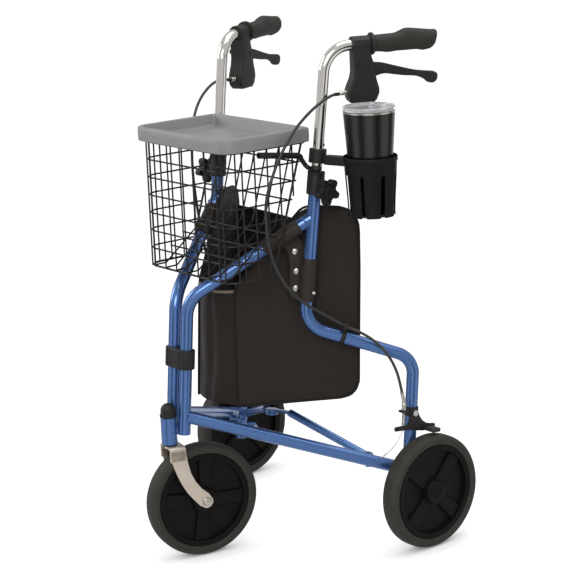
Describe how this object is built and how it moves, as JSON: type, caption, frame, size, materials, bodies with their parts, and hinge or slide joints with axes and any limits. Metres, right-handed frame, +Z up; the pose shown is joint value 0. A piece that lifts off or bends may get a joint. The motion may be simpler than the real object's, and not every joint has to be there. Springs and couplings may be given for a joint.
{
  "type": "three wheel rollator",
  "caption": "Folding wheeled walking frame with a swivelling front caster, cable hand brakes, wire basket with tray, soft bag and cup holder.",
  "frame": {"origin": "on the ground, in the middle of the part's box seen from above", "axes": "+Z up, -Y towards the front caster, +X towards the user's left (the cup holder's side)"},
  "size_m": [0.576, 0.5107, 0.9038],
  "materials": {
    "blue_paint": "metallic gloss",
    "chrome": "polished",
    "satin_nickel": "satin",
    "bright_steel": "zinc plated",
    "tyre_rubber": "matt",
    "hub_plastic": "moulded",
    "black_plastic": "fine grain",
    "grip_rubber": "soft matt",
    "grey_plastic": "fine grain",
    "black_wire": "dip coated",
    "bag_fabric": "woven",
    "cable_black": "smooth",
    "tumbler_black": "satin",
    "clear_plastic": "clear"
  },
  "bodies": {
    "left_frame": {"left_front_tube": "blue_paint", "left_post_tube": "blue_paint", "left_lower_rail": "blue_paint", "head_tube": "blue_paint", "head_cap": "black_plastic", "stem_bushes": "black_plastic", "hinge_clamp": "black_plastic", "hinge_clamp_screws": "black_plastic", "left_axle_plate": "blue_paint", "left_axle_bolt": "bright_steel", "left_post_collar": "black_plastic", "left_brake_bracket": "black_plastic", "left_brake_hardware": "bright_steel", "left_brake_spring": "bright_steel", "left_cable_clip": "black_plastic", "left_brake_cable": "cable_black", "left_bag_panel": "bag_fabric", "bag_gussets": "bag_fabric", "bag_floor": "bag_fabric"},
    "right_frame": {"right_front_tube": "blue_paint", "right_post_tube": "blue_paint", "right_lower_rail": "blue_paint", "right_axle_plate": "blue_paint", "right_axle_bolt": "bright_steel", "right_post_collar": "black_plastic", "right_brake_bracket": "black_plastic", "right_brake_hardware": "bright_steel", "right_brake_spring": "bright_steel", "right_cable_clip": "black_plastic", "right_brake_cable": "cable_black", "right_bag_panel": "bag_fabric"},
    "front_fork": {"front_fork": "satin_nickel", "front_axle_bolt": "bright_steel"},
    "front_wheel": {"front_tyre": "tyre_rubber", "front_hub": "hub_plastic"},
    "left_wheel": {"left_tyre": "tyre_rubber", "left_hub": "hub_plastic"},
    "right_wheel": {"right_tyre": "tyre_rubber", "right_hub": "hub_plastic"},
    "left_brake_arm": {"left_brake_arm": "black_plastic"},
    "right_brake_arm": {"right_brake_arm": "black_plastic"},
    "left_handle": {"left_upright": "chrome", "left_brake_housing": "black_plastic", "left_grip": "grip_rubber", "cup_clamp": "black_plastic", "cup_holder": "black_plastic"},
    "right_handle": {"right_upright": "chrome", "right_brake_housing": "black_plastic", "right_grip": "grip_rubber"},
    "left_lever": {"left_brake_lever": "black_plastic"},
    "right_lever": {"right_brake_lever": "black_plastic"},
    "left_knob": {"left_height_knob": "black_plastic"},
    "right_knob": {"right_height_knob": "black_plastic"},
    "basket": {"basket": "black_wire"},
    "tray": {"tray": "grey_plastic"},
    "tumbler": {"tumbler": "tumbler_black", "tumbler_lid": "clear_plastic"},
    "left_link": {"left_brace_link": "blue_paint"},
    "right_link": {"right_brace_link": "blue_paint"}
  },
  "joints": [
    {"name": "fold", "type": "hinge", "parent": "left_frame", "child": "right_frame", "pos_m": [-0.017, -0.17625, 0.36069], "axis": [0, -0.0906, -0.9959], "range_deg": [0, 44], "deforming": ["bag_gussets", "bag_floor"]},
    {"name": "caster_swivel", "type": "hinge", "parent": "left_frame", "child": "front_fork", "pos_m": [0, -0.20814, 0.23], "axis": [0, 0, 1], "continuous": true},
    {"name": "front_wheel_spin", "type": "hinge", "parent": "front_fork", "child": "front_wheel", "pos_m": [0.01237, -0.15455, 0.1015], "axis": [0.9744, -0.225, 0], "continuous": true},
    {"name": "left_wheel_spin", "type": "hinge", "parent": "left_frame", "child": "left_wheel", "pos_m": [0.269, 0.15386, 0.1015], "axis": [1, 0, 0], "continuous": true},
    {"name": "right_wheel_spin", "type": "hinge", "parent": "right_frame", "child": "right_wheel", "pos_m": [-0.269, 0.15386, 0.1015], "axis": [1, 0, 0], "continuous": true},
    {"name": "left_height", "type": "slide", "parent": "left_frame", "child": "left_handle", "axis": [0.0226, 0.1236, 0.9921], "range_m": [0, 0.075], "deforming": ["left_brake_cable"]},
    {"name": "right_height", "type": "slide", "parent": "right_frame", "child": "right_handle", "axis": [-0.0226, 0.1236, 0.9921], "range_m": [0, 0.075], "deforming": ["right_brake_cable"]},
    {"name": "left_knob_turn", "type": "hinge", "parent": "left_frame", "child": "left_knob", "pos_m": [0.13676, 0.02634, 0.64249], "axis": [0.9997, -0.0024, -0.0224], "continuous": true},
    {"name": "right_knob_turn", "type": "hinge", "parent": "right_frame", "child": "right_knob", "pos_m": [-0.13676, 0.02634, 0.64249], "axis": [0.9997, 0.0024, 0.0224], "continuous": true},
    {"name": "left_squeeze", "type": "hinge", "parent": "left_handle", "child": "left_lever", "pos_m": [0.16991, 0.1247, 0.84327], "axis": [0.9272, -0.3746, 0], "range_deg": [0, 15], "stiffness_Nm_per_rad": 1.2, "springref_deg": -11.46},
    {"name": "right_squeeze", "type": "hinge", "parent": "right_handle", "child": "right_lever", "pos_m": [-0.16991, 0.1247, 0.84327], "axis": [0.9272, 0.3746, 0], "range_deg": [0, 15], "stiffness_Nm_per_rad": 1.2, "springref_deg": -11.46},
    {"name": "left_brake", "type": "hinge", "parent": "left_frame", "child": "left_brake_arm", "pos_m": [0.25402, 0.13325, 0.24516], "axis": [-1, 0, 0], "range_deg": [0, 6], "deforming": ["left_brake_spring"]},
    {"name": "right_brake", "type": "hinge", "parent": "right_frame", "child": "right_brake_arm", "pos_m": [-0.25402, 0.13325, 0.24516], "axis": [-1, 0, 0], "range_deg": [0, 6], "deforming": ["right_brake_spring"]},
    {"name": "left_brace", "type": "hinge", "parent": "left_frame", "child": "left_link", "pos_m": [0.18012, 0.09095, 0.15765], "axis": [0, 0.0906, 0.9959], "range_deg": [0, 33.1]},
    {"name": "right_brace", "type": "hinge", "parent": "right_frame", "child": "right_link", "pos_m": [-0.18012, 0.09095, 0.15765], "axis": [0, -0.0906, -0.9959], "range_deg": [0, 21.1]},
    {"name": "basket_off", "type": "slide", "parent": "left_frame", "child": "basket", "axis": [0, -0.9404, 0.3401], "range_m": [0, 0.1]},
    {"name": "tray_lift", "type": "slide", "parent": "basket", "child": "tray", "axis": [0, 0, 1], "range_m": [0, 0.08]},
    {"name": "tumbler_lift", "type": "slide", "parent": "left_handle", "child": "tumbler", "axis": [0, 0, 1], "range_m": [0, 0.12]}
  ],
  "couplings": [
    {"joint": "left_brake", "follows": "left_squeeze", "ratio": 0.38667},
    {"joint": "right_brake", "follows": "right_squeeze", "ratio": 0.38667},
    {"joint": "left_brace", "follows": "fold", "ratio": 0.74803},
    {"joint": "right_brace", "follows": "fold", "ratio": 0.47458}
  ]
}
